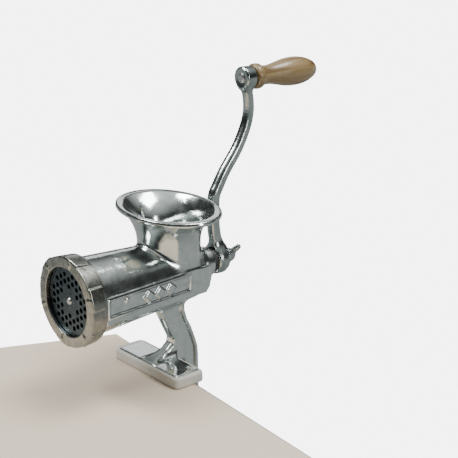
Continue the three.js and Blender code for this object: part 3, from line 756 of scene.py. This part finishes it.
def eased(profile, ease, steps=4):
    """Points (along, radius) and directions of a profile with its corners rounded."""
    corners = [np.array(p, float) for p in profile]
    points, ways = [corners[0]], [corners[1] - corners[0]]
    for before, corner, after in zip(corners, corners[1:], corners[2:]):
        back, ahead = before - corner, after - corner
        cut = min(ease, 0.46 * np.linalg.norm(back), 0.46 * np.linalg.norm(ahead))
        start = corner + back / np.linalg.norm(back) * cut
        end = corner + ahead / np.linalg.norm(ahead) * cut
        for i in range(steps + 1):
            t = i / steps
            points.append((1 - t) ** 2 * start + 2 * t * (1 - t) * corner + t * t * end)
            ways.append((1 - t) * (corner - start) + t * (end - corner))
    points.append(corners[-1])
    ways.append(corners[-1] - corners[-2])
    return np.array(points), np.array(ways)


def turned(name, profile, ease=0.4, start=(0, 0, 0), axis=(0, 1, 0), ring=False, around=96):
    """A turned piece about the line through start along axis; a ring's profile closes on itself."""
    if isinstance(profile, tuple):
        points, ways = profile
    elif ring:
        middle = tuple((np.array(profile[0]) + np.array(profile[-1])) / 2)
        points, ways = (rounded[:-1] for rounded in eased([middle] + profile + [middle], ease))
    else:
        points, ways = eased(profile, ease)
    ways = ways / np.linalg.norm(ways, axis=1, keepdims=True)
    forward = np.array(axis, float) / np.linalg.norm(axis)
    right = np.cross(forward, (0, 0, 1) if abs(forward[2]) < 0.9 else (0, 1, 0))
    right /= np.linalg.norm(right)
    up = np.cross(forward, right)
    turns = math.tau * np.arange(around) / around
    spoke = np.cos(turns)[:, None] * right + np.sin(turns)[:, None] * up
    places = np.array(start, float) + points[:, None, :1] * forward + points[:, None, 1:] * spoke
    normals = -ways[:, None, 1:] * forward + ways[:, None, :1] * spoke
    rows = len(points)
    vertex, normal_list, number_of = [], [], np.zeros((rows, around), int)
    for i in range(rows):
        if points[i][1] < 1e-6:
            number_of[i] = len(vertex)
            vertex.append(places[i][0])
            normal_list.append(forward * (-1 if i == 0 else 1))
        else:
            number_of[i] = len(vertex) + np.arange(around)
            vertex.extend(places[i])
            normal_list.extend(normals[i])
    faces = []
    for i in range(rows if ring else rows - 1):
        for j in range(around):
            face_ids = [number_of[i][j], number_of[i][(j + 1) % around],
                        number_of[(i + 1) % rows][(j + 1) % around], number_of[(i + 1) % rows][j]]
            kept = [int(v) for k, v in enumerate(face_ids) if v != face_ids[k - 1]]
            faces.append(kept)
    return skinned(name, vertex, faces, normal_list)


stud_tip = turned("stud_tip", [
    (stud_low.y, 0), (stud_low.y, 2.7), (stud_low.y + 1.3, 3.95), (tip_end, 3.95), (tip_end, 0)],
    0.35, stud_axis)
stud_root = turned("stud_root", [
    (root_start, 0), (root_start, 4.7), (stud_high.y, 4.7), (stud_high.y, 0)], 0.4, stud_axis)
square_mesh = bpy.data.meshes.new("stud_square")
square_corners = [(x * stud_square_half, y, axis_z + z * stud_square_half)
                  for y in (tip_end, root_start + 0.15)
                  for x, z in ((-1, -1), (1, -1), (1, 1), (-1, 1))]
square_mesh.from_pydata([tuple(c * MM for c in corner) for corner in square_corners], [], [
    (0, 1, 2, 3), (7, 6, 5, 4), (0, 4, 5, 1), (1, 5, 6, 2), (2, 6, 7, 3), (3, 7, 4, 0)])
stud_square = bpy.data.objects.new("stud_square", square_mesh)
bpy.context.scene.collection.objects.link(stud_square)
chamfer = stud_square.modifiers.new("chamfer", "BEVEL")
chamfer.width, chamfer.segments = 0.0005, 3
for piece in (stud_tip, stud_root, stud_square):
    piece.data.materials.append(ground_steel)
    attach(piece, "rotor")
    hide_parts("auger_stud")
dress_solid("stud_pin", ground_steel)

# --- Thrust washer --------------------------------------------------------------------------------
# A black nylon washer between the collar and the crank's hub takes the auger's push. It is moulded,
# and turns with the auger's journal that it sits on.
thrust_low, thrust_high = (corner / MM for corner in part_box("thrust_washer"))
thrust_washer = turned("thrust_ring", [
    (thrust_low.y, 10.1), (thrust_low.y, thrust_high.x), (thrust_high.y, thrust_high.x),
    (thrust_high.y, 10.1)], 0.5, stud_axis, ring=True)
nylon = bpy.data.materials.new("black_nylon_moulding")
nodes, links, shader = node_links(nylon)
grease = noise(nodes, links, 300, 4)
links.new(blend_colours(nodes, links, grease, [(0.3, (0.010, 0.010, 0.011)), (0.7, (0.028, 0.028, 0.03))]),
          shader.inputs["Base Color"])
links.new(in_range(nodes, links, grease, 0.35, 0.5), shader.inputs["Roughness"])
bumped(nodes, links, shader, [(grease, 0.1, 0.0002)])
thrust_washer.data.materials.append(nylon)
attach(thrust_washer, "rotor")
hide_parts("thrust_washer")

# --- Crank arm ------------------------------------------------------------------------------------
# One tinned iron casting: a hub with a square socket on the auger's end, a curved arm that swings
# out and back, and a round boss at its top for the grip's spindle.
crank_low, crank_high = (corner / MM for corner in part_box("crank_arm"))
hub_front = thrust_high.y + GAP
hub_end, socket_half, socket_depth = hub_front + 18.6, 6.2, 90.2
grip_axis = np.array((0, 0.9989706, -0.04536256))
grip_centre = np.array((0, 124.0, 305.0))
arm_line = np.array([(84, 112), (84, 118), (82.6, 126), (79.8, 138), (78.6, 152), (79.3, 179), (85, 191),
                     (95.5, 207.5), (112, 228), (123.5, 249), (128.6, 266), (128.4, 282), (124.6, 300)])


def flowing(corners, steps):
    """A smooth curve through the corners."""
    corners = np.array(corners, float)
    padded = np.vstack([2 * corners[0] - corners[1], corners, 2 * corners[-1] - corners[-2]])
    out = []
    for a, b, c, d in zip(padded, padded[1:], padded[2:], padded[3:]):
        for i in range(steps):
            t = i / steps
            out.append(0.5 * (2 * b + (c - a) * t + (2 * a - 5 * b + 4 * c - d) * t * t
                              + (3 * b - a - 3 * c + d) * t ** 3))
    return np.array(out + [corners[-1]])


arm_curve = flowing(arm_line, 4)
arm_share = np.linspace(0, 1, len(arm_curve))


def arm_distance(x, y, z):
    """Distance from the arm, which thins along its length."""
    nearest = np.full(np.shape(y), 1e9)
    share = np.zeros(np.shape(y))
    for (y0, z0), (y1, z1), s0, s1 in zip(arm_curve, arm_curve[1:], arm_share, arm_share[1:]):
        dy, dz = y1 - y0, z1 - z0
        t = np.clip(((y - y0) * dy + (z - z0) * dz) / (dy * dy + dz * dz), 0, 1)
        gap = (y - y0 - t * dy) ** 2 + (z - z0 - t * dz) ** 2
        closer = gap < nearest
        nearest = np.where(closer, gap, nearest)
        share = np.where(closer, s0 + t * (s1 - s0), share)
    wide = 6.6 - 1.2 * share
    deep = 7.4 - 1.8 * share
    swell = (np.abs(x) / wide) ** 2.5 + (np.sqrt(nearest) / deep) ** 2.5
    return (np.maximum(swell, 1e-9) ** 0.4 - 1) * np.minimum(wide, deep)


def crank_field(x, y, z):
    """Hub, arm and grip boss, with the square socket, the screw's hole and the rivet's dish cut."""
    radius = np.hypot(x, z - axis_z)
    hub = outline_field(radius, y, [
        (-9, hub_front), (14.3, hub_front), (16, 76.8), (16.6, 80), (16.6, 86), (14.4, 90.4),
        (9.6, hub_end), (-9, hub_end)]) - 0.15
    arm = arm_distance(x, y, z)
    ahead = (y - grip_centre[1]) * grip_axis[1] + (z - grip_centre[2]) * grip_axis[2]
    off = np.sqrt(np.maximum(x * x + (y - grip_centre[1]) ** 2 + (z - grip_centre[2]) ** 2 - ahead ** 2, 0))
    boss = outline_field(off, ahead, [
        (-9, -5.4), (10.6, -5.4), (12.3, -4.2), (12.4, 0), (12.3, 7.2), (10.8, 8.4), (-9, 8.4)]) - 0.1
    crank = soft_join(hub, arm, 9)
    near_hub = np.where(radius < 24, hub_front - y, -99)
    crank = soft_join(np.maximum(crank, near_hub), boss, 6)
    dish = np.sqrt(off ** 2 + (ahead + 5.5 + 30) ** 2) - 31.3
    crank = soft_cut(crank, -dish, 0.8)
    socket = np.maximum(np.maximum(np.abs(x), np.abs(z - axis_z)) - socket_half, y - socket_depth)
    crank = np.maximum(crank, -np.minimum(socket, radius - 4.4))
    return np.maximum(crank, 4.3 - off)


crank = cast_piece("crank_casting", crank_field, crank_low, crank_high, 1.15)
# The crank's tin is thinner and darker than the body's, with long streaks down the arm.
crank_tin = bpy.data.materials.new("streaked_tin")
nodes, links, shader = node_links(crank_tin)
shader.inputs["Metallic"].default_value = 1.0
patches = noise(nodes, links, 60, 5)
streaks = noise(nodes, links, 170, 4, (1, 1, 0.12))
pits = noise(nodes, links, 700, 4)
links.new(blend_colours(nodes, links, streaks, [
    (0.30, (0.27, 0.32, 0.32)), (0.5, (0.40, 0.44, 0.43)), (0.72, (0.52, 0.55, 0.53))]),
    shader.inputs["Base Color"])
links.new(in_range(nodes, links, patches, 0.12, 0.24), shader.inputs["Roughness"])
bumped(nodes, links, shader, [(streaks, 0.14, 0.0008), (pits, 0.04, 0.0003)])
crank.data.materials.append(crank_tin)
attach(crank, "rotor")
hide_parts("crank_arm")

# --- Crank screw and washer -----------------------------------------------------------------------
# A tinned wing screw threads into the auger's end through a plain steel washer, and clamps the hub.
# The head is cast with its two wings, and its M8 thread is cut; the washer is stamped.
washer_low, washer_high = (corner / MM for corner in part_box("crank_screw_washer"))
screw_washer = turned("screw_washer", [
    (washer_low.y, 4.35), (washer_low.y, washer_high.x), (washer_high.y, washer_high.x),
    (washer_high.y, 4.35)], 0.35, stud_axis, ring=True)
screw_washer.data.materials.append(ground_steel)
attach(screw_washer, "screw_carriage")
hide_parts("crank_screw_washer")

screw_low, screw_high = (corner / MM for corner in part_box("crank_screw"))
wing_turn, thread_pitch = math.radians(43), 1.25
wing_start = washer_high.y + GAP
wing_outline = [(0, 7.4), (12.5, 9), (16.5, 9.2), (20, 8.4), (21, 6.6), (19.6, 4.6), (14, 1.4), (8, 0.6),
                (0, 0.6)]


def wing_screw_field(x, y, z):
    """A domed head with two wings, and a threaded shank."""
    z = z - axis_z
    radius = np.hypot(x, z)
    along = y - wing_start
    hub = outline_field(radius, along, [
        (-9, 0), (7.9, 0), (7.9, 4.5), (6.5, 8), (3, 10.2), (0.5, 10.7), (-9, 10.7)])
    spread = np.abs(x * math.cos(wing_turn) + z * math.sin(wing_turn))
    across = np.abs(z * math.cos(wing_turn) - x * math.sin(wing_turn)) - 2.95
    wing = soft_cut(outline_field(spread, along, wing_outline) - 0.3, across, 2.6)
    head = soft_join(hub, wing, 3)
    ridge = 0.32 * np.abs(((y / thread_pitch - np.arctan2(z, x) / math.tau) % 1) - 0.5) * 2
    shank = np.maximum(radius - 4 + ridge, np.maximum(screw_low.y + 0.1 - y, along - 1))
    return np.minimum(head, shank)


wing_screw = cast_piece("wing_screw_casting", wing_screw_field, screw_low, screw_high, 0.6)
wing_screw.data.materials.append(crank_tin)
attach(wing_screw, "wing_screw")
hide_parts("crank_screw")

# --- Grip and its spindle -------------------------------------------------------------------------
# A turned, varnished hardwood grip that spins on a steel spindle. The spindle is riveted through the
# crank's boss, with a washer at each end of the wood.
grip_shape = flowing([(10.3, 11.2), (10.6, 12.1), (12.5, 13.7), (15.8, 14.0), (18.4, 13.6), (20.2, 12.2),
                      (21.2, 11.5), (23.3, 11.0), (28.3, 10.5), (35.3, 11), (45.3, 12.9), (55.3, 14.9),
                      (65.3, 15.8), (75.3, 15.5), (84.3, 13.9), (91.3, 11.4), (95.6, 9.4), (97.4, 8.0)], 6)
grip_profile = np.vstack([[(10.3, 4.5)], grip_shape, [(97.5, 7.5), (97.2, 6.7), (94.0, 6.6), (94.0, 4.5)]])
grip_ways = np.gradient(grip_profile, axis=0)
grip_ways[0], grip_ways[-1] = (0, 1), (0, -1)
grip = turned("turned_grip", (grip_profile, grip_ways), start=tuple(grip_centre),
              axis=tuple(grip_axis), ring=True)
wood = bpy.data.materials.new("varnished_hardwood")
nodes, links, shader = node_links(wood)
grain = noise(nodes, links, 190, 6, (1, 0.045, 1))
fine = noise(nodes, links, 1300, 4, (1, 0.05, 1))
cloud = noise(nodes, links, 38, 3, (1, 0.5, 1))
links.new(blend_colours(nodes, links, grain, [
    (0.26, (0.085, 0.048, 0.018)), (0.40, (0.15, 0.096, 0.040)), (0.5, (0.205, 0.142, 0.064)),
    (0.62, (0.235, 0.168, 0.080)), (0.8, (0.27, 0.20, 0.10))]), shader.inputs["Base Color"])
links.new(in_range(nodes, links, cloud, 0.26, 0.4), shader.inputs["Roughness"])
shader.inputs["Coat Weight"].default_value = 0.45
shader.inputs["Coat Roughness"].default_value = 0.16
bumped(nodes, links, shader, [(fine, 0.12, 0.0003)])
grip.data.materials.append(wood)
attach(grip, "grip_body")
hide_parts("grip")

spindle_profile = [(-6.3, 0), (-6.3, 3.2), (-5.4, 5.4), (-4.9, 5.6), (-4.3, 3.9), (95.9, 3.9), (96.1, 5.6),
                   (97.2, 5.0), (97.9, 3.4), (97.9, 0)]
grip_rod = turned("grip_rod", spindle_profile, 0.5, tuple(grip_centre), tuple(grip_axis))
inner_washer = turned("inner_washer", [(8.85, 4.1), (8.85, 8.5), (9.95, 8.5), (9.95, 4.1)], 0.3,
                      tuple(grip_centre), tuple(grip_axis), ring=True)
outer_washer = turned("outer_washer", [(94.35, 4.1), (94.35, 6.15), (95.65, 6.15), (95.65, 4.1)], 0.3,
                      tuple(grip_centre), tuple(grip_axis), ring=True)
for piece, node_name in ((grip_rod, "grip_spindle"), (inner_washer, "grip_washer"),
                         (outer_washer, "grip_end_washer")):
    piece.data.materials.append(ground_steel)
    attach(piece, "rotor")
    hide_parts(node_name)

# --- Jaw pad --------------------------------------------------------------------------------------
# A moulded plastic tray snapped under the jaw, so the iron doesn't mark the table. Its rim stands
# round the jaw plate, and is open at the back for the leg.
tray_floor = 4.05


def block(x, y, half_x, half_y, corner):
    """Distance to a rectangle with round corners."""
    u, v = np.abs(x) - half_x + corner, np.abs(y) - half_y + corner
    return np.hypot(np.maximum(u, 0), np.maximum(v, 0)) - corner + np.minimum(np.maximum(u, v), 0)


def pad_field(x, y, z):
    """The tray, its pocket for the jaw plate, and the opening for the leg."""
    lean = 0.5 * np.clip(z / 12, 0, 1)
    outside = block(x, y, pad_high_mm.x - lean, pad_high_mm.y - lean, 7)
    pad = soft_cut(outside, np.maximum(-z, z - pad_high_mm.z), 2.6)
    pocket = np.maximum(block(x, y, 50.8, 16.3, 3.4), tray_floor - z)
    slot_cut = np.maximum(np.abs(x) - 10.3, np.maximum(14 - y, tray_floor - z))
    return soft_cut(pad, -np.minimum(pocket, slot_cut), 0.7)


pad = cast_piece("moulded_jaw_pad", pad_field, pad_low_mm, pad_high_mm, 1.0)
pad_plastic = bpy.data.materials.new("pale_moulded_plastic")
nodes, links, shader = node_links(pad_plastic)
haze = noise(nodes, links, 70, 4)
grit = noise(nodes, links, 1600, 3)
links.new(blend_colours(nodes, links, haze, [(0.3, (0.50, 0.49, 0.44)), (0.7, (0.58, 0.57, 0.52))]),
          shader.inputs["Base Color"])
links.new(in_range(nodes, links, grit, 0.5, 0.65), shader.inputs["Roughness"])
bumped(nodes, links, shader, [(grit, 0.15, 0.00015)])
pad.data.materials.append(pad_plastic)
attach(pad, "housing")
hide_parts("jaw_pad")

# --- Clamp spindle --------------------------------------------------------------------------------
# A steel screw through the lower arm's boss. Its rolled thread runs nearly its whole length, and its
# head is cross-drilled for the tommy bar.
spindle_low, spindle_high = (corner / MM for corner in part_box("clamp_spindle"))
clamp_pitch, bar_hole_z = 3, -131


def spindle_field(x, y, z):
    """Threaded rod, its plain tip, and the cross-drilled head."""
    radius = np.hypot(x, y)
    ridge = 0.85 * np.abs(((z / clamp_pitch - np.arctan2(y, x) / math.tau) % 1) - 0.5) * 2
    threaded = soft_cut(radius - 6 + ridge, np.maximum(-121 - z, z + 35.6), 0.8)
    tip = np.maximum(radius - 2.5, np.maximum(-40 - z, z - spindle_high.z))
    head = soft_cut(radius - 9, np.abs(z - bar_hole_z) - 9, 1.6)
    head = soft_cut(head, -(np.hypot(y, z - bar_hole_z) - 3.8), 0.5)
    return np.minimum(np.minimum(threaded, tip), head)


clamp_screw = cast_piece("clamp_screw", spindle_field, spindle_low, spindle_high, 0.5)
clamp_screw.data.materials.append(ground_steel)
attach(clamp_screw, "spindle_body")
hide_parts("clamp_spindle")

# --- Clamp disc and rivet -------------------------------------------------------------------------
# A pressed steel disc turns on the spindle's tip and bears on the table's underside; the tip is
# spread over into a rivet so the disc stays on.
disc_low_mm, disc_high_mm = disc_low / MM, disc_high / MM
disc = turned("bearing_disc", [
    (disc_low_mm.z, 2.9), (disc_low_mm.z, 15.5), (disc_low_mm.z + 1.6, disc_high_mm.x),
    (disc_high_mm.z, disc_high_mm.x), (disc_high_mm.z, 7.4), (disc_high_mm.z - 2.4, 6.6),
    (disc_high_mm.z - 2.4, 2.9)], 0.6, (0, 0, 0), (0, 0, 1), ring=True)
disc.data.materials.append(ground_steel)
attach(disc, "disc_body")
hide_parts("clamp_disc")
rivet_low, rivet_high = (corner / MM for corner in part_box("disc_rivet"))
rivet = turned("spread_rivet", [
    (rivet_low.z, 0), (rivet_low.z, 5), (rivet_low.z + 0.7, 5), (rivet_high.z, 3), (rivet_high.z, 0)],
    0.4, (0, 0, 0), (0, 0, 1))
rivet.data.materials.append(ground_steel)
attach(rivet, "spindle_body")
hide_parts("disc_rivet")

# --- Tommy bar ------------------------------------------------------------------------------------
# A loose steel bar slides through the spindle's head, and a round knob on each end keeps it there.
# The knobs are turned steel, pressed on once the bar is through.
bar_low, bar_high = (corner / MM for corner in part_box("tommy_bar"))
bar_z = (bar_low.z + bar_high.z) / 2
bar_radius, knob_radius = 3.45, 5.98
bar = turned("sliding_bar", [
    (bar_low.x, 0), (bar_low.x, bar_radius), (bar_high.x, bar_radius), (bar_high.x, 0)], 0.8, (0, 0, bar_z),
    (1, 0, 0), around=64)
bar.data.materials.append(ground_steel)
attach(bar, "bar_body")
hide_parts("tommy_bar")
for node_name, label in (("tommy_knob_left", "left_knob"), ("tommy_knob_right", "right_knob")):
    knob_low, knob_high = (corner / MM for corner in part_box(node_name))
    middle, knob_half = (knob_low.x + knob_high.x) / 2, (knob_high.x - knob_low.x) / 2
    bend = [(middle - knob_half * math.cos(a), knob_radius * math.sin(a))
            for a in np.linspace(0, math.pi, 25)]
    bend[0], bend[-1] = (bend[0][0], 0), (bend[-1][0], 0)
    knob = turned(label, bend, 0.3, (0, 0, bar_z), (1, 0, 0), around=64)
    knob.data.materials.append(ground_steel)
    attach(knob, "bar_body")
    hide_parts(node_name)
